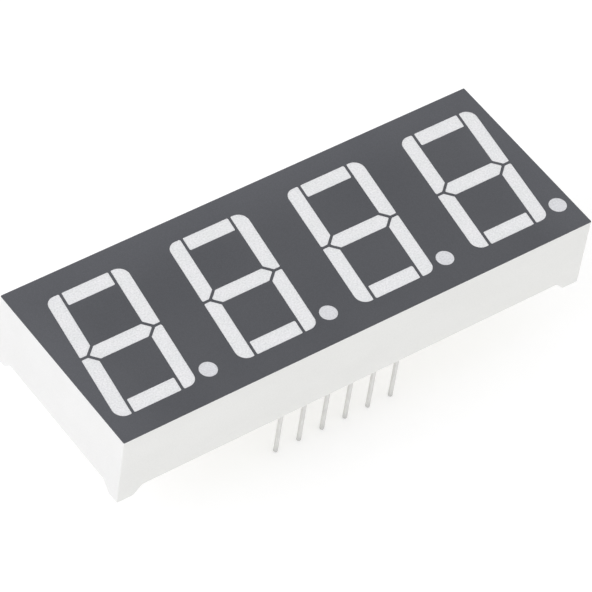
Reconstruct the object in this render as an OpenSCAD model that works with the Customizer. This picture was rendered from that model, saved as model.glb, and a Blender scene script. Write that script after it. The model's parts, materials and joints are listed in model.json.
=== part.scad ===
// Four-digit seven-segment display with a slanted digit face and two rows of pins.
// The origin is in the middle of the pin pattern, on the plane that the feet stand on.
// X runs along the row of digits, Y towards the tops of the digits and Z out of the face.
// All lengths are in millimetres.

/* [Digits] */
// Height of a digit
digit_h = 14.25; // [12:0.05:15.5]
// Width of an upright digit over its outer edges
digit_w = 8.25; // [7:0.05:10]
// Clear width between neighbouring digits
digit_space = 4.45; // [3.6:0.05:8]
// Lean of the digits to the right, in degrees
slant = 8; // [0:0.5:12]
// Width of the upright strokes, measured level
upright_w = 1.44; // [1.2:0.01:1.9]
// Height of the level strokes
level_h = 1.5; // [1.2:0.01:1.9]
// Dark gap between neighbouring segments
segment_gap = 0.28; // [0.15:0.01:0.45]
// Radius of the four outer corners of a digit
outer_r = 1; // [0.3:0.05:1.1]
// Radius of all other segment corners
edge_r = 0.12; // [0.04:0.01:0.2]
// Diameter of the decimal points
point_d = 1.66; // [1.3:0.01:2]
// Level gap between a digit's lower right edge and its decimal point
point_gap = 0.62; // [0.3:0.01:0.9]
// How far a decimal point reaches below the foot of its digit
point_drop = 0.07; // [0:0.01:0.4]

/* [Body] */
// Height from the feet to the face
body_h = 8; // [7:0.1:12]
// How much shorter the body is than its row of digit pitches
body_shortfall = 0.5; // [0:0.05:0.6]
// Distance from a pin row to the long side next to it
pin_margin = 1.88; // [1.7:0.01:4]
// Thickness of the skirt walls
wall = 1; // [0.7:0.05:1.2]
// Radius of the four upright edges
corner_r = 0.1; // [0.05:0.05:0.6]
// Height of the feet below the raised lower edge
foot_h = 0.95; // [0.5:0.05:1.8]
// Length of a foot along a long side
foot_l = 1.7; // [1.2:0.05:4]
// Length of a foot along a short side
foot_w = 1.3; // [1.2:0.05:4]
// Level length of the slope between a foot and the raised edge
foot_slope = 0.9; // [0.2:0.05:2]
// Radius at both ends of that slope
foot_r = 0.4; // [0.05:0.05:0.5]
// Thickness of the dark coat on the face
coat_t = 0.05; // [0.02:0.01:0.2]

/* [Light cells] */
// Length of a cell's opening at the board
cell_l = 2.6; // [2:0.05:3.6]
// Width of a cell's opening at the board
cell_w = 1.1; // [0.9:0.05:1.3]
// Diameter of a decimal point's opening at the board
point_cell_d = 1.3; // [1.2:0.05:1.5]
// Depth below the face over which the cell walls are straight
cell_land = 0.6; // [0.2:0.05:1.5]
// Thickness of the plastic between the cells and the hollows in the reflector
rib_t = 0.8; // [0.5:0.05:1.1]
// Thickness of the front wall over the hollows
front_t = 1.2; // [0.8:0.05:1.8]
// Corner radius of the hollows
hollow_r = 0.3; // [0.1:0.05:0.5]

/* [Board and seal] */
// Thickness of the circuit board
board_t = 1; // [0.6:0.05:1.6]
// Clearance round the board in the skirt
board_gap = 0.15; // [0.05:0.01:0.25]
// Depth of the cast seal behind the board
seal_t = 0.6; // [0.5:0.05:1]
// Depth of the seal's surface inside the raised lower edge
seal_sink = 0.5; // [0.1:0.05:1]

/* [Pins] */
// Diameter of a pin
pin_d = 0.45; // [0.4:0.01:0.6]
// Distance from pin to pin along a row
pin_pitch = 2.54; // [2:0.01:5.08]
// Distance between the two rows
row_pitch = 15.24; // [14.5:0.01:20.32]
// Length of a pin below the feet
pin_out = 6.7; // [3:0.1:12]
// Radius of the rounded edge at a pin's tip
pin_tip_r = 0.18; // [0.04:0.01:0.2]
// Radial growth of a pin's root from the raised lower edge up to the board's front
pin_flare = 0.05; // [0.02:0.01:0.1]
// Radial room for solder between a pin's root and its hole
pin_room = 0.1; // [0.05:0.01:0.15]
// Width of the solder ring round a hole
solder_ring = 0.15; // [0.08:0.01:0.2]
// Height of a solder joint on the board's back
solder_h = 0.4; // [0.2:0.05:0.45]

/* [Chips and wires] */
// Side of a light-emitting chip
chip_w = 0.3; // [0.2:0.01:0.36]
// Height of a light-emitting chip
chip_h = 0.2; // [0.1:0.01:0.3]
// Distance from a chip to the place where its wire meets the board
wire_span = 0.7; // [0.5:0.01:0.8]
// Rise of a wire's loop
wire_rise = 0.3; // [0.15:0.01:0.5]
// Thickness of a wire
wire_t = 0.04; // [0.02:0.01:0.06]

/* [Hidden] */
DIGITS = 4;
PINS_A_ROW = 6;
LETTERS = ["a", "b", "c", "d", "e", "f", "g"];
// Place of the decimal point after the seven segments in a digit's list of cells
POINT = 7;
// Largest distance between a drawn arc and the true one
arc_error = 0.005;
// Turn between neighbouring points of a wire's loop
wire_step = 20;
// Run of a cutter past the face that it opens
past = 0.2;
// Largest share of a stroke's width that an outer corner may round off
round_share = 0.75;
$fn = 48;

// The digits' pitch, and the overall size that follows from it and from the pin rows
digit_pitch = digit_w + digit_space;
body_l = DIGITS * digit_pitch - body_shortfall;
body_w = row_pitch + 2 * pin_margin;
cavity_l = body_l - 2 * wall;
cavity_w = body_w - 2 * wall;
board_l = cavity_l - 2 * board_gap;
board_w = cavity_w - 2 * board_gap;

// Heights of the layers, from the feet to the face
seal_z = foot_h + seal_sink;
board_back_z = seal_z + seal_t;
solder_z = board_back_z - solder_h;
board_front_z = board_back_z + board_t;
face_z = body_h;
coat_z = face_z - coat_t;
land_z = face_z - cell_land;
hollow_z = coat_z - front_t;

// Half sizes of an upright digit, and the middle line of its upright strokes
half_w = digit_w / 2;
half_h = digit_h / 2;
stem_x = half_w - upright_w / 2;
stem_inner_x = half_w - upright_w;
// Level offset of the slanting edges beside a gap that runs at 45 degrees
mitre = segment_gap / sqrt(2);

// The decimal point's centre, seen from the digit's centre
point_r = point_d / 2;
point_y = point_r - half_h - point_drop;
point_x = half_w + point_y * tan(slant) + point_gap + point_r;

pin_r = pin_d / 2;
hole_r = pin_r + pin_flare + pin_room;
solder_r = hole_r + solder_ring;

function segment_name(n, k) = str("digit_", n, "_segment_", LETTERS[k]);
function point_name(n) = str("digit_", n, "_point");
function chips_name(n) = str("chips_digit_", n);
function wires_name(n) = str("wires_digit_", n);
function pin_name(n) = str("pin_", n);

// Places of the digits, counted from the left, and of the pins, counted anticlockwise
// from the front left as seen from the face
function digit_x(n) = (n - (DIGITS + 1) / 2) * digit_pitch;
function pin_column(n) = n <= PINS_A_ROW ? n : 2 * PINS_A_ROW + 1 - n;
function pin_side(n) = n <= PINS_A_ROW ? -1 : 1;
function pin_place(n) = [
    (pin_column(n) - (PINS_A_ROW + 1) / 2) * pin_pitch,
    pin_side(n) * row_pitch / 2,
    0
];

// Radius of a pin's root at height z, between the raised lower edge and the board's front
function root_r(z) = pin_r + pin_flare * (z - foot_h) / (board_front_z - foot_h);

// Outlines with rounded corners: a corner is [x, y, radius]
function flat(p) = [p.x, p.y];
function unit(v) = v / norm(v);
function turn(v, a) = [v.x * cos(a) - v.y * sin(a), v.x * sin(a) + v.y * cos(a)];
function arc_steps(r, a) = max(2, ceil(a / (2 * acos(1 - min(arc_error / r, 0.5)))));
function corner_arc(before, here, after, r) =
    let (
        back = unit(before - here),
        on = unit(after - here),
        half = acos(back * on) / 2,
        centre = here + unit(back + on) * r / sin(half),
        start = here + back * r / tan(half) - centre,
        sweep = (180 - 2 * half) * sign(cross(-back, on)),
        steps = arc_steps(r, abs(sweep))
    )
    [for (i = [0 : steps]) centre + turn(start, sweep * i / steps)];
function rounded(corners) =
    let (n = len(corners))
    [
        for (i = [0 : n - 1])
            each corner_arc(
                flat(corners[(i + n - 1) % n]),
                flat(corners[i]),
                flat(corners[(i + 1) % n]),
                corners[i].z
            )
    ];
function rectangle(x, y, r) = [[-x, -y, r], [x, -y, r], [x, y, r], [-x, y, r]];

// Changes to a list of corners that keep its direction
function leaning(corners) = [for (c = corners) [c.x + c.y * tan(slant), c.y, c.z]];
function half_turned(corners) = [for (c = corners) [-c.x, -c.y, c.z]];
function mirrored(corners) =
    [for (i = [len(corners) - 1 : -1 : 0]) [-corners[i].x, corners[i].y, corners[i].z]];

// Corners of the three kinds of segment on an upright digit: top, upper left and middle
function top_corners() =
    let (x = stem_inner_x - segment_gap, y = half_h - level_h)
    [[-x, y, edge_r], [x, y, edge_r], [x, half_h, edge_r], [-x, half_h, edge_r]];
function left_corners() =
    let (
        y = segment_gap / 2,
        top_r = min(outer_r, round_share * upright_w)
    )
    [
        [-half_w, y, edge_r],
        [-stem_x + y - mitre, y, edge_r],
        [-stem_inner_x, upright_w / 2 + mitre, edge_r],
        [-stem_inner_x, half_h, edge_r],
        [-half_w, half_h, top_r]
    ];
function middle_corners() =
    let (tip = stem_x - mitre, y = level_h / 2, x = tip - y)
    [
        [-tip, 0, edge_r],
        [-x, -y, edge_r],
        [x, -y, edge_r],
        [tip, 0, edge_r],
        [x, y, edge_r],
        [-x, y, edge_r]
    ];
function segment_corners(k) = [
    top_corners(),
    mirrored(left_corners()),
    half_turned(left_corners()),
    half_turned(top_corners()),
    half_turned(mirrored(left_corners())),
    left_corners(),
    middle_corners()
][k];
function segment_outline(k) = rounded(leaning(segment_corners(k)));

// Direction in which a cell runs, and its reach along any direction
function is_level(k) = k == 0 || k == 3 || k == 6 || k == POINT;
function run_angle(k) = is_level(k) ? 0 : 90 - slant;
function reach(points, a) =
    let (s = [for (p = points) p * [cos(a), sin(a)]])
    [min(s), max(s)];
function middle(range) = (range[0] + range[1]) / 2;
function half_span(range) = (range[1] - range[0]) / 2;
function cell_centre(k) =
    k == POINT ? [point_x, point_y] :
    let (a = run_angle(k), outline = segment_outline(k))
    turn([middle(reach(outline, a)), middle(reach(outline, a + 90))], a);

// Half width of a cell at height z, where it narrows in a straight line towards the board
function narrowed(half_front, half_back, z) =
    half_back + (half_front - half_back) * (z - board_front_z) / (land_z - board_front_z);

// Corners of the hollow in a digit's upper loop, and of the one beside the digit
function loop_corners() =
    let (x = stem_inner_x - rib_t, low = level_h / 2 + rib_t, high = half_h - level_h - rib_t)
    [[-x, low, hollow_r], [x, low, hollow_r], [x, high, hollow_r], [-x, high, hollow_r]];
function side_corners() =
    let (
        left = half_w + rib_t,
        right = half_w + digit_space - rib_t,
        low = point_y + point_r + rib_t,
        high = half_h - rib_t
    )
    [[left, low, hollow_r], [right, low, hollow_r], [right, high, hollow_r], [left, high, hollow_r]];

// Middle line of a wire's loop in its own upright plane, and the direction square to it
function loop_point(a) = [
    -wire_span / 2 * cos(a),
    wire_rise * sin(a) + chip_h * (1 + cos(a)) / 2
];
function loop_square(a) =
    let (v = [wire_span / 2 * sin(a), wire_rise * cos(a) - chip_h * sin(a) / 2])
    unit([-v.y, v.x]);
function wire_outline() =
    let (angles = [for (a = [0 : wire_step : 180]) a], last = len(angles) - 1)
    concat(
        [for (a = angles) loop_point(a) + loop_square(a) * wire_t / 2],
        [for (i = [last : -1 : 0]) loop_point(angles[i]) - loop_square(angles[i]) * wire_t / 2]
    );

// An upright prism over an outline, from height low to height high
module prism(outline, low, high) {
    translate([0, 0, low])
        linear_extrude(high - low)
            polygon(outline);
}

// A plain block centred on the origin, from height low to height high
module block(l, w, low, high) {
    translate([-l / 2, -w / 2, low])
        cube([l, w, high - low]);
}

// An upright outline drawn along the direction a, in the plane through the origin,
// and thickened by w to both sides
module upright(a, w, outline) {
    rotate([90, 0, a])
        translate([0, 0, -w])
            linear_extrude(2 * w)
                polygon(outline);
}

module each_digit() {
    for (n = [1 : DIGITS])
        translate([digit_x(n), 0, 0])
            children();
}

// A wedge that gives a cell its sloping walls along the direction a
module cell_wedge(outline, a, half_back) {
    range = reach(outline, a);
    across = reach(outline, a + 90);
    low = board_front_z - 2 * past;
    high = face_z + 2 * past;
    half_low = narrowed(half_span(range), half_back, low);
    half_high = narrowed(half_span(range), half_back, high);
    c = middle(range);
    w = max(across[1], -across[0]) + past;
    upright(a, w, [[c - half_low, low], [c + half_low, low], [c + half_high, high], [c - half_high, high]]);
}

// One light cell of a digit: its outline at the face, narrowing to a small opening at the board.
// With more, it runs past the board and the face.
module cell(k, more = 0) {
    low = board_front_z - more;
    high = face_z + more;
    if (k == POINT) {
        translate([point_x, point_y, 0])
            rotate_extrude()
                polygon([
                    [0, low],
                    [narrowed(point_r, point_cell_d / 2, low), low],
                    [point_r, land_z],
                    [point_r, high],
                    [0, high]
                ]);
    } else {
        outline = segment_outline(k);
        a = run_angle(k);
        intersection() {
            prism(outline, low, high);
            cell_wedge(outline, a, cell_l / 2);
            cell_wedge(outline, a + 90, cell_w / 2);
        }
    }
}

// Puts a piece into the middle of a cell's opening, on the board and along the cell
module on_board(k) {
    c = cell_centre(k);
    translate([c.x, c.y, board_front_z])
        rotate(run_angle(k))
            children();
}

module chip() {
    translate([-wire_span / 2, 0, 0])
        block(chip_w, chip_w, 0, chip_h);
}

module wire() {
    upright(0, wire_t / 2, wire_outline());
}

// Cast resin in one cell, moulded round its chip and wire
module light_guide(n, k) {
    translate([digit_x(n), 0, 0])
        difference() {
            cell(k);
            on_board(k) chip();
            on_board(k) wire();
        }
}

module segment(n, k) {
    color("whitesmoke") light_guide(n, k);
}

module point(n) {
    color("gainsboro") light_guide(n, POINT);
}

module chips(n) {
    color("khaki")
        translate([digit_x(n), 0, 0])
            for (k = [0 : POINT])
                on_board(k) chip();
}

module wires(n) {
    color("gold")
        translate([digit_x(n), 0, 0])
            for (k = [0 : POINT])
                on_board(k) wire();
}

// One end of the cut between two feet, whose slope starts at low and ends at the raised edge
function edge_curve(low) =
    let (
        foot = [low, 0],
        edge = [low - foot_slope, foot_h],
        lower = corner_arc(foot + [foot_r, 0], foot, edge, foot_r),
        upper = corner_arc(foot, edge, edge - [foot_r, 0], foot_r)
    )
    concat([[lower[0].x, -past]], lower, upper);

// Cut that raises the lower edge between two feet, along the direction a
module edge_cut(a, l, foot, w) {
    curve = edge_curve(l / 2 - foot);
    upright(a, w, concat(curve, [for (i = [len(curve) - 1 : -1 : 0]) [-curve[i].x, curve[i].y]]));
}

module hollow(corners) {
    prism(rounded(leaning(corners)), board_front_z - past, hollow_z);
}

module reflector_housing() {
    color("white")
        difference() {
            prism(rounded(rectangle(body_l / 2, body_w / 2, corner_r)), 0, coat_z);
            block(cavity_l, cavity_w, -past, board_front_z);
            edge_cut(0, body_l, foot_l, body_w);
            edge_cut(90, body_w, foot_w, body_l);
            each_digit() {
                for (k = [0 : POINT])
                    cell(k, past);
                hollow(loop_corners());
                hollow(half_turned(loop_corners()));
            }
            for (n = [1 : DIGITS - 1])
                translate([digit_x(n), 0, 0])
                    hollow(side_corners());
        }
}

module face_coat() {
    color("dimgray")
        difference() {
            prism(rounded(rectangle(body_l / 2, body_w / 2, corner_r)), coat_z, face_z);
            each_digit() {
                for (k = [0 : len(LETTERS) - 1])
                    prism(segment_outline(k), coat_z - past, face_z + past);
                translate([point_x, point_y, coat_z - past])
                    cylinder(r = point_r, h = coat_t + 2 * past);
            }
        }
}

module each_pin() {
    for (n = [1 : 2 * PINS_A_ROW])
        translate(pin_place(n))
            children();
}

module circuit_board() {
    color("seagreen")
        difference() {
            block(board_l, board_w, board_back_z, board_front_z);
            each_pin()
                translate([0, 0, board_back_z - past])
                    cylinder(r = hole_r, h = board_t + 2 * past);
        }
}

// A pin from its rounded tip to the board's front, straight up to the raised lower edge
// and with a slightly wider root in the seal and the board
module pin(n) {
    tip = [0, -pin_out];
    shoulder = [pin_r, foot_h];
    color("silver")
        translate(pin_place(n))
            rotate_extrude()
                polygon(concat(
                    [tip],
                    corner_arc(tip, [pin_r, -pin_out], shoulder, pin_tip_r),
                    [shoulder, [root_r(board_front_z), board_front_z], [0, board_front_z]]
                ));
}

// Solder that fills the hole round a pin and stands as a cone on the board's back
module solder_joint() {
    rotate_extrude()
        polygon([
            [root_r(solder_z), solder_z],
            [root_r(solder_z) + pin_room / 2, solder_z],
            [solder_r, board_back_z],
            [hole_r, board_back_z],
            [hole_r, board_front_z],
            [root_r(board_front_z), board_front_z]
        ]);
}

module solder_joints() {
    color("lightgray")
        each_pin() solder_joint();
}

// The room in the seal for a pin's root and the solder on it
module sealed_joint() {
    low = seal_z - past;
    high = board_back_z + past;
    rotate_extrude()
        polygon([
            [0, low],
            [root_r(low), low],
            [root_r(solder_z), solder_z],
            [root_r(solder_z) + pin_room / 2, solder_z],
            [solder_r, board_back_z],
            [solder_r, high],
            [0, high]
        ]);
}

module back_seal() {
    color("ivory")
        difference() {
            block(cavity_l, cavity_w, seal_z, board_front_z);
            block(board_l, board_w, board_back_z, board_front_z + past);
            each_pin() sealed_joint();
        }
}

reflector_housing();
face_coat();
for (n = [1 : DIGITS]) {
    for (k = [0 : len(LETTERS) - 1])
        segment(n, k);
    point(n);
    chips(n);
    wires(n);
}
circuit_board();
for (n = [1 : 2 * PINS_A_ROW])
    pin(n);
solder_joints();
back_seal();
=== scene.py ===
"""Four-digit seven-segment display: finishes, softened edges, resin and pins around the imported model."""

import json
import math

import bmesh
import bpy
from mathutils import Matrix, Vector


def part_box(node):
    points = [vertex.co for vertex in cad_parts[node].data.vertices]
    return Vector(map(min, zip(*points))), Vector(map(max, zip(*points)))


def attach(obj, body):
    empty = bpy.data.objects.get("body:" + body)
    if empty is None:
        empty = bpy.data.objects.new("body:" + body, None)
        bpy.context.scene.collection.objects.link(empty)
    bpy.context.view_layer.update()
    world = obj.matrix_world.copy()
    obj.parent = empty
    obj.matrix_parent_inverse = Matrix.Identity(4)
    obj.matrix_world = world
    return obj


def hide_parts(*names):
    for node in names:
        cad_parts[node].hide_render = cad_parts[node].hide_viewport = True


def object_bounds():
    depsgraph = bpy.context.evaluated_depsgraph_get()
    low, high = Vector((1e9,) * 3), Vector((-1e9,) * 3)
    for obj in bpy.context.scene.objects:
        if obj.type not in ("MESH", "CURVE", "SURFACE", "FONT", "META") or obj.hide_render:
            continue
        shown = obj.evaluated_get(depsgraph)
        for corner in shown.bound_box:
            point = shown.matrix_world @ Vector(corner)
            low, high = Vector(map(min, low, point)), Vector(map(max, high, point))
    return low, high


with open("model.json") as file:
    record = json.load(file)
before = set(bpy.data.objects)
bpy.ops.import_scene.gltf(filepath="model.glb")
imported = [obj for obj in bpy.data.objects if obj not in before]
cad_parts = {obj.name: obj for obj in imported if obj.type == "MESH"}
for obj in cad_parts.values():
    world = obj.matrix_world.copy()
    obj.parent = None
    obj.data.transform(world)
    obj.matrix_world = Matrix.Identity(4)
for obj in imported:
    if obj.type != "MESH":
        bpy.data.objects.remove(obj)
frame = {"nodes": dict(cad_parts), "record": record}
cad_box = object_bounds()

BODY = "root"
PINS = range(1, 13)
NODES = frame["nodes"]
MOUNTS = {m["name"]: m for m in frame["record"]["mounts"]}

# Lengths below are in millimetres, and the scene is in metres
MM = 0.001
# Distance within which two points count as one
WELD = 0.0005

# Softened edges of the housing, rounded to an arc
RIM_BEVEL = 0.06
RIM_STEPS = 3
RIM_PROFILE = 0.5
SHARP_ANGLE = math.radians(30)
FLAT_ANGLE = math.radians(0.5)

# Width of the rim over which the face is drawn paler, a painted sheen
SHEEN_RIM_WIDTH = 6

# Facets of the pins, and the length over which painted shade darkens their tips
PIN_SIDES = 32
PIN_TIP_STEPS = 8
TIP_SHADE_LENGTH = 1.2

# Fillet that the resin forms on the skirt and round each pin, sunk a little into the seal
CREEP_H = 0.32
CREEP_W = 0.42
CREEP_STEPS = 8
CREEP_SINK = 0.03

# Camera of the photograph's view, which aims at this place on the face
CAMERA_AIM = (-3.003, -3.372)
CAMERA_DISTANCE = 358
CAMERA_TURN = math.radians(42.478)
CAMERA_DOWN = math.radians(48.004)
CAMERA_ROLL = math.radians(9.263)
CAMERA_LENS = 251.27

# Light: an even white room, a glowing white table and one soft box on the left
ROOM_LIGHT = 0.85
TABLE_SIZE = 3000
TABLE_CLOUDS = 40
TABLE_GLOW = 0.4
BOX_SIZE = 400
BOX_PLACE = Vector((-480, 80, 340))
BOX_WATTS = 0.62
BOX_TINT = (0.99, 0.98, 1.14)

# Sides of the body on which its corners lie, in order round it
CORNERS = ((-1, -1), (1, -1), (1, 1), (-1, 1))

# Places of the colour sockets on a mix node
MIX_BELOW, MIX_ABOVE, MIX_RESULT = 6, 7, 2


def mm_box(node):
    """Lowest and highest corner of a node in millimetres."""
    low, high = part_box(node)
    return low / MM, high / MM


def pin_centre(n):
    """Middle of a pin in millimetres."""
    low, high = mm_box(f"pin_{n}")
    return (low + high) / 2


def straight_span(n):
    """Lowest and highest point of a pin's straight stretch, between its rounded tip and its root."""
    centre = pin_centre(n)
    points = [v.co / MM for v in NODES[f"pin_{n}"].data.vertices]
    heights = [p.z for p in points if abs((p - centre).xy.length - PIN_R) < WELD]
    return min(heights), max(heights)


# Sizes that the frame gives
FACE_HIGH = mm_box("face_coat")[1]
SEAL_LOW, SEAL_HIGH = mm_box("back_seal")
PIN_R = MOUNTS["outer_pins"]["dims"]["stud_r_mm"]
TIP_Z = mm_box("pin_1")[0].z
# The pins' roots start level with the raised lower edge of the housing
SHOULDER_Z, EDGE_Z = straight_span(1)


class Finish:
    """A Principled material, with short ways to drive it by patterns whose sizes are in millimetres."""

    def __init__(self, name, sockets):
        self.material = bpy.data.materials.new(name)
        self.material.use_nodes = True
        self.tree = self.material.node_tree
        self.shader = self.tree.nodes["Principled BSDF"]
        for socket, value in sockets.items():
            self.shader.inputs[socket].default_value = value
        self.place = self.tree.nodes.new("ShaderNodeTexCoord").outputs["Object"]

    def node(self, kind, **settings):
        """Adds a shader node with these settings."""
        made = self.tree.nodes.new(kind)
        for key, value in settings.items():
            setattr(made, key, value)
        return made

    def link(self, source, target):
        self.tree.links.new(source, target)

    def stretched(self, stretch):
        """Object coordinates in which a pattern is drawn out along an axis."""
        mapping = self.node("ShaderNodeMapping")
        mapping.inputs["Scale"].default_value = [1 / s for s in stretch]
        self.link(self.place, mapping.inputs["Vector"])
        return mapping.outputs["Vector"]

    def noise(self, size, detail=2, stretch=(1, 1, 1)):
        """Soft random pattern with features of about this size."""
        made = self.node("ShaderNodeTexNoise")
        made.inputs["Scale"].default_value = 1 / (size * MM)
        made.inputs["Detail"].default_value = detail
        self.link(self.stretched(stretch), made.inputs["Vector"])
        return made.outputs["Fac"]

    def grains(self, size):
        """Speckle of separate grains with this spacing."""
        made = self.node("ShaderNodeTexVoronoi")
        made.inputs["Scale"].default_value = 1 / (size * MM)
        self.link(self.place, made.inputs["Vector"])
        return made.outputs["Distance"]

    def weave(self, size):
        """Bands of threads along X and Y with this spacing."""
        bands = []
        for direction in ("X", "Y"):
            made = self.node("ShaderNodeTexWave", bands_direction=direction)
            # The bands of a wave texture lie pi / 10 apart at a scale of 1
            made.inputs["Scale"].default_value = math.pi / (10 * size * MM)
            self.link(self.place, made.inputs["Vector"])
            bands.append(made.outputs["Fac"])
        return self.mixed(bands[0], bands[1], share=0.5)

    def mixed(self, first, second, share):
        """A blend of two patterns."""
        made = self.node("ShaderNodeMix", data_type="FLOAT")
        made.inputs["Factor"].default_value = share
        self.link(first, made.inputs["A"])
        self.link(second, made.inputs["B"])
        return made.outputs["Result"]

    def worked_out(self, operation, *patterns):
        """A pattern that follows from one or two others."""
        made = self.node("ShaderNodeMath", operation=operation)
        for socket, pattern in zip(made.inputs, patterns):
            self.link(pattern, socket)
        return made.outputs["Value"]

    def along(self, axis):
        """Place along an axis, in metres."""
        axes = self.node("ShaderNodeSeparateXYZ")
        self.link(self.place, axes.inputs["Vector"])
        return axes.outputs[axis]

    def rising(self, place, low, high):
        """Runs from 0 to 1 between two places, given in millimetres."""
        made = self.node("ShaderNodeMapRange", interpolation_type="SMOOTHSTEP")
        made.inputs["From Min"].default_value = low * MM
        made.inputs["From Max"].default_value = high * MM
        self.link(place, made.inputs["Value"])
        return made.outputs["Result"]

    def ramp(self, pattern, first, last, span=(0.3, 0.7)):
        """Runs from one colour to another over a span of a pattern's values."""
        made = self.node("ShaderNodeValToRGB")
        for element, place, colour in zip(made.color_ramp.elements, span, (first, last)):
            element.position = place
            element.color = (*colour, 1)
        self.link(pattern, made.inputs["Fac"])
        return made.outputs["Color"]

    def veil(self, pattern, depth):
        """Darkens by up to this share where a pattern is low."""
        return self.ramp(pattern, grey(1 - depth), grey(1))

    def colour(self, *layers):
        """Base colour from one or more ramps, each multiplied over the one before."""
        below = layers[0]
        for layer in layers[1:]:
            made = self.node("ShaderNodeMix", data_type="RGBA", blend_type="MULTIPLY")
            made.inputs["Factor"].default_value = 1
            self.link(below, made.inputs[MIX_BELOW])
            self.link(layer, made.inputs[MIX_ABOVE])
            below = made.outputs[MIX_RESULT]
        self.link(below, self.shader.inputs["Base Color"])

    def roughness(self, pattern, low, high):
        """Roughness that follows a pattern from low to high."""
        made = self.node("ShaderNodeMapRange")
        made.inputs["To Min"].default_value = low
        made.inputs["To Max"].default_value = high
        self.link(pattern, made.inputs["Value"])
        self.link(made.outputs["Result"], self.shader.inputs["Roughness"])

    def bumps(self, *layers):
        """Surface relief from (pattern, depth in millimetres) pairs."""
        normal = None
        for pattern, depth in layers:
            made = self.node("ShaderNodeBump")
            made.inputs["Distance"].default_value = depth * MM
            self.link(pattern, made.inputs["Height"])
            if normal:
                self.link(normal, made.inputs["Normal"])
            normal = made.outputs["Normal"]
        self.link(normal, self.shader.inputs["Normal"])


def grey(level):
    """A colour with the same level in all channels."""
    return (level, level, level)


def milky(weight, depth):
    """Sockets of a plastic that light enters to this depth in millimetres."""
    return {
        "Subsurface Weight": weight,
        "Subsurface Radius": (1, 1, 0.95),
        "Subsurface Scale": depth * MM,
    }


def housing_finish():
    """White moulded plastic with a fine spark-eroded texture and faint flow clouds."""
    made = Finish("housing_white", {"IOR": 1.49, **milky(weight=0.15, depth=0.4)})
    texture = made.noise(size=0.09, detail=3)
    clouds = made.noise(size=4.5, stretch=(2.5, 1, 1))
    made.colour(
        made.ramp(clouds, (0.821, 0.821, 0.80), (0.846, 0.846, 0.826)),
        made.veil(texture, depth=0.04),
    )
    made.roughness(texture, low=0.42, high=0.58)
    made.bumps((clouds, 0.01), (texture, 0.004))
    return made.material


def face_finish():
    """Matt dark grey ink with fine grain and a faint orange peel, with a painted sheen that makes it paler
    towards the ends and the rear.
    """
    made = Finish("face_ink", {"IOR": 1.45})
    grain = made.grains(size=0.11)
    peel = made.noise(size=0.35)
    drift = made.noise(size=9, detail=1)
    # Painted sheen: the face is drawn paler along the ends and the rear edge
    from_middle = made.worked_out("ABSOLUTE", made.along("X"))
    ends = made.rising(from_middle, FACE_HIGH.x - SHEEN_RIM_WIDTH, FACE_HIGH.x)
    rear = made.rising(made.along("Y"), FACE_HIGH.y - SHEEN_RIM_WIDTH, FACE_HIGH.y)
    rim = made.worked_out("MAXIMUM", ends, rear)
    made.colour(
        made.ramp(drift, (0.077, 0.080, 0.090), (0.085, 0.088, 0.098)),
        made.ramp(grain, grey(1.12), grey(0.94), span=(0.05, 0.6)),
        made.ramp(rim, grey(1), grey(1.2), span=(0, 1)),
    )
    made.roughness(peel, low=0.5, high=0.64)
    made.bumps((peel, 0.004), (grain, 0.003))
    return made.material


def resin_finish(name, dark, light):
    """Milky cast resin with a fine speckle of diffuser and a slightly rough skin."""
    made = Finish(name, {"IOR": 1.52, **milky(weight=0.3, depth=0.35)})
    speckle = made.noise(size=0.16, detail=3)
    clouds = made.noise(size=1.6)
    made.colour(
        made.ramp(clouds, dark, light),
        made.veil(speckle, depth=0.2),
    )
    made.roughness(speckle, low=0.32, high=0.5)
    made.bumps((clouds, 0.004), (speckle, 0.004))
    return made.material


def pin_finish():
    """Dull tin plating, drawn along the pin and mottled, with painted shade that darkens the tip."""
    made = Finish("pin_tin", {"Metallic": 1.0})
    drawn = made.noise(size=0.06, stretch=(1, 1, 18))
    mottle = made.noise(size=0.5, detail=3)
    # Painted shade: the pins are drawn darker toward their tips
    tip_shade = made.rising(made.along("Z"), TIP_Z, TIP_Z + TIP_SHADE_LENGTH)
    made.colour(
        made.ramp(tip_shade, (0.66, 0.66, 0.65), (0.78, 0.78, 0.765), span=(0, 1)),
        made.veil(mottle, depth=0.06),
        made.veil(drawn, depth=0.08),
    )
    made.roughness(mottle, low=0.34, high=0.52)
    made.bumps((drawn, 0.006), (mottle, 0.004))
    return made.material


def seal_finish():
    """Cast resin on the back: ivory, glossy and a little cloudy, with fine bubbles under its skin."""
    made = Finish("seal_resin", {"IOR": 1.54, **milky(weight=0.35, depth=0.6)})
    clouds = made.noise(size=3.2, detail=3)
    bubbles = made.grains(size=0.9)
    made.colour(
        made.ramp(clouds, (0.73, 0.715, 0.66), (0.785, 0.775, 0.73)),
        made.ramp(bubbles, (0.9, 0.89, 0.86), grey(1), span=(0.06, 0.16)),
    )
    made.roughness(clouds, low=0.14, high=0.3)
    made.bumps((clouds, 0.03), (bubbles, 0.01))
    return made.material


def board_finish():
    """Green solder lacquer over a glass weave."""
    made = Finish("board_lacquer", {"IOR": 1.5})
    weave = made.weave(size=0.45)
    clouds = made.noise(size=2.4)
    made.colour(
        made.ramp(weave, (0.035, 0.15, 0.06), (0.06, 0.22, 0.09), span=(0.2, 0.8)),
        made.veil(clouds, depth=0.12),
    )
    made.roughness(clouds, low=0.28, high=0.42)
    made.bumps((weave, 0.01))
    return made.material


def chip_finish():
    """Sawn semiconductor with fine saw marks."""
    made = Finish("chip_crystal", {"IOR": 2.0})
    saw = made.noise(size=0.02, detail=1, stretch=(8, 8, 1))
    made.colour(made.ramp(saw, (0.52, 0.44, 0.22), (0.66, 0.57, 0.32)))
    made.roughness(saw, low=0.25, high=0.45)
    made.bumps((saw, 0.002))
    return made.material


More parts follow.
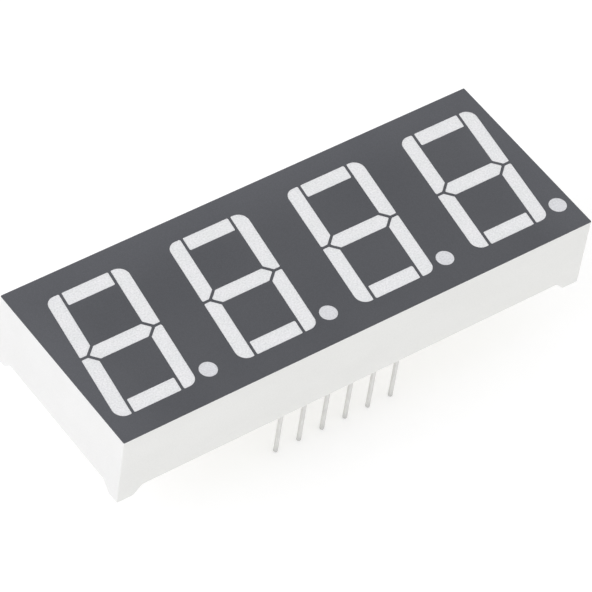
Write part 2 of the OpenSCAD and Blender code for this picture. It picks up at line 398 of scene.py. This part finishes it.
def wire_finish():
    """Drawn bond wire."""
    made = Finish("wire_metal", {"Metallic": 1.0})
    drawn = made.noise(size=0.01, detail=1, stretch=(6, 6, 1))
    made.colour(made.ramp(drawn, (0.72, 0.72, 0.71), (0.84, 0.84, 0.83)))
    made.roughness(drawn, low=0.2, high=0.34)
    made.bumps((drawn, 0.001))
    return made.material


def solder_finish():
    """Bright solder with a faintly crystalline skin."""
    made = Finish("solder_tin", {"Metallic": 1.0})
    skin = made.grains(size=0.08)
    made.colour(made.ramp(skin, (0.60, 0.60, 0.61), (0.74, 0.74, 0.74), span=(0.1, 0.7)))
    made.roughness(skin, low=0.18, high=0.34)
    made.bumps((skin, 0.004))
    return made.material


FINISHES = {
    "housing": housing_finish(),
    "face": face_finish(),
    "segment": resin_finish("segment_resin", dark=(0.926, 0.939, 0.937), light=(0.968, 0.966, 0.974)),
    "point": resin_finish("point_resin", dark=(0.816, 0.821, 0.842), light=(0.847, 0.852, 0.873)),
    "board": board_finish(),
    "chip": chip_finish(),
    "wire": wire_finish(),
    "solder": solder_finish(),
    "pin": pin_finish(),
    "seal": seal_finish(),
}


def finish_nodes():
    """Gives each node the finish of its slot in the record."""
    for part in frame["record"]["subparts"]:
        materials = NODES[part["node"]].data.materials
        materials.clear()
        materials.append(FINISHES[part["material_slot"]])


def piece(name, bm, slot, *replaced):
    """Turns a mesh into a piece of the object that rides on its body."""
    bmesh.ops.recalc_face_normals(bm, faces=bm.faces)
    mesh = bpy.data.meshes.new(name)
    bm.to_mesh(mesh)
    bm.free()
    mesh.shade_smooth()
    mesh.set_sharp_from_angle(angle=SHARP_ANGLE)
    mesh.materials.append(FINISHES[slot])
    made = bpy.data.objects.new(name, mesh)
    bpy.context.scene.collection.objects.link(made)
    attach(made, BODY)
    if replaced:
        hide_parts(*replaced)


def on_lower_rim(vert):
    """Whether a point of the housing lies on the skirt's lower edges, feet and slopes included."""
    x, y, z = vert.co / MM
    # The seal fills the skirt, so it ends at the skirt's inner faces
    in_skirt = abs(x) > SEAL_HIGH.x - WELD or abs(y) > SEAL_HIGH.y - WELD
    return in_skirt and z < EDGE_Z + WELD


def soft_housing():
    """The housing with rounded lower rims, as a moulded skirt has."""
    bm = bmesh.new()
    bm.from_mesh(NODES["reflector_housing"].data)
    bmesh.ops.remove_doubles(bm, verts=bm.verts, dist=WELD * MM)
    bmesh.ops.dissolve_limit(bm, angle_limit=FLAT_ANGLE, verts=bm.verts, edges=bm.edges)
    rims = [
        e for e in bm.edges
        if e.is_convex and all(on_lower_rim(v) for v in e.verts) and e.calc_face_angle(0) > SHARP_ANGLE
    ]
    bmesh.ops.bevel(
        bm, geom=rims, offset=RIM_BEVEL * MM, offset_type="OFFSET", segments=RIM_STEPS, profile=RIM_PROFILE,
        affect="EDGES", clamp_overlap=True,
    )
    piece("housing_moulding", bm, "housing", "reflector_housing")


def quarter_turn(steps):
    """Angles from 0 to 90 degrees in equal steps."""
    return [math.pi / 2 * i / steps for i in range(steps + 1)]


def lathe(bm, profile, centre, sides, closed=False):
    """Turns a profile of (radius, z) points round an upright axis, all in millimetres."""
    rings = []
    for r, z in profile:
        # A point on the axis stands for its whole ring
        angles = [2 * math.pi * i / sides for i in range(sides)] if r else [0]
        rings.append([
            bm.verts.new(Vector((centre.x + r * math.cos(a), centre.y + r * math.sin(a), z)) * MM)
            for a in angles
        ])
    pairs = list(zip(rings, rings[1:]))
    if closed:
        pairs.append((rings[-1], rings[0]))
    for below, above in pairs:
        for i in range(sides):
            j = (i + 1) % sides
            lower = [below[i % len(below)], below[j % len(below)]]
            upper = [above[j % len(above)], above[i % len(above)]]
            bm.faces.new(list(dict.fromkeys(lower + upper)))


def pin_profile(root_r, top_z):
    """Half section of a pin from the rounded tip to the root."""
    tip_r = SHOULDER_Z - TIP_Z
    flat_r = PIN_R - tip_r
    tip = [
        (flat_r + tip_r * math.sin(a), TIP_Z + tip_r * (1 - math.cos(a)))
        for a in quarter_turn(PIN_TIP_STEPS)
    ]
    return [(0, TIP_Z)] + tip + [(PIN_R, EDGE_Z), (root_r, top_z), (0, top_z)]


def tinned_pins():
    """Round pins, turned finer than the model's own."""
    for n in PINS:
        low, high = mm_box(f"pin_{n}")
        bm = bmesh.new()
        lathe(bm, pin_profile((high.x - low.x) / 2, high.z), pin_centre(n), PIN_SIDES)
        piece(f"tinned_pin_{n}", bm, "pin", f"pin_{n}")


def creep_section(wall):
    """Section of resin that has climbed a wall in a hollow curve, as (distance, z) points."""
    curve = [
        (wall + CREEP_W * (1 - math.sin(a)), SEAL_LOW.z - CREEP_H * (1 - math.cos(a)))
        for a in quarter_turn(CREEP_STEPS)
    ]
    sunk_z = SEAL_LOW.z + CREEP_SINK
    return curve + [(wall, sunk_z), (wall + CREEP_W, sunk_z)]


def skirt_creep(bm):
    """Resin fillet along the four inner walls of the skirt."""
    loops = []
    for out, z in creep_section(wall=0):
        x, y = SEAL_HIGH.x - out, SEAL_HIGH.y - out
        loops.append([bm.verts.new(Vector((side * x, end * y, z)) * MM) for side, end in CORNERS])
    for below, above in zip(loops, loops[1:] + loops[:1]):
        for i in range(len(CORNERS)):
            j = (i + 1) % len(CORNERS)
            bm.faces.new([below[i], below[j], above[j], above[i]])


def resin_creep():
    """Resin fillets on the skirt and round the pins, where the cast seal has climbed before it set."""
    bm = bmesh.new()
    skirt_creep(bm)
    for n in PINS:
        lathe(bm, creep_section(wall=PIN_R), pin_centre(n), PIN_SIDES, closed=True)
    piece("seal_fillets", bm, "seal")


def make_camera():
    """Looks down on the face, turned from +Y towards +X and rolled so that the part rises to the right."""
    forward = Vector((
        math.sin(CAMERA_TURN) * math.cos(CAMERA_DOWN),
        math.cos(CAMERA_TURN) * math.cos(CAMERA_DOWN),
        -math.sin(CAMERA_DOWN),
    ))
    level = Vector((math.cos(CAMERA_TURN), -math.sin(CAMERA_TURN), 0))
    above = level.cross(forward)
    right = level * math.cos(CAMERA_ROLL) + above * math.sin(CAMERA_ROLL)
    up = right.cross(forward)
    data = bpy.data.cameras.new("camera")
    data.lens = CAMERA_LENS
    camera = bpy.data.objects.new("camera", data)
    place = Vector((*CAMERA_AIM, FACE_HIGH.z)) - forward * CAMERA_DISTANCE
    turned = Matrix((right, up, -forward)).transposed().to_4x4()
    camera.matrix_world = Matrix.Translation(place * MM) @ turned
    bpy.context.scene.collection.objects.link(camera)
    bpy.context.scene.camera = camera


def make_room():
    """Even white light from all around."""
    world = bpy.data.worlds.new("room")
    world.use_nodes = True
    background = world.node_tree.nodes["Background"]
    background.inputs["Color"].default_value = (*grey(1), 1)
    background.inputs["Strength"].default_value = ROOM_LIGHT
    bpy.context.scene.world = world
    bpy.context.scene.view_settings.view_transform = "Standard"


def make_table():
    """Plain pale table at the pins' tips."""
    bm = bmesh.new()
    bmesh.ops.create_grid(bm, x_segments=1, y_segments=1, size=TABLE_SIZE / 2 * MM)
    bmesh.ops.translate(bm, verts=bm.verts, vec=(0, 0, cad_box[0].z))
    mesh = bpy.data.meshes.new("table")
    bm.to_mesh(mesh)
    bm.free()
    glow = {"Emission Color": (*grey(1), 1), "Emission Strength": TABLE_GLOW}
    surface = Finish("table_white", {"Roughness": 0.9, **glow})
    surface.colour(surface.ramp(surface.noise(TABLE_CLOUDS), grey(0.7), grey(0.72)))
    mesh.materials.append(surface.material)
    table = bpy.data.objects.new("table", mesh)
    bpy.context.scene.collection.objects.link(table)


def make_soft_box():
    """Square lamp that faces the part."""
    data = bpy.data.lights.new("soft_box", "AREA")
    data.shape = "SQUARE"
    data.size = BOX_SIZE * MM
    data.energy = BOX_WATTS
    data.color = BOX_TINT
    lamp = bpy.data.objects.new("soft_box", data)
    lamp.location = BOX_PLACE * MM
    lamp.rotation_euler = (-BOX_PLACE).to_track_quat("-Z", "Y").to_euler()
    bpy.context.scene.collection.objects.link(lamp)


finish_nodes()
soft_housing()
tinned_pins()
resin_creep()
make_camera()
make_room()
make_table()
make_soft_box()
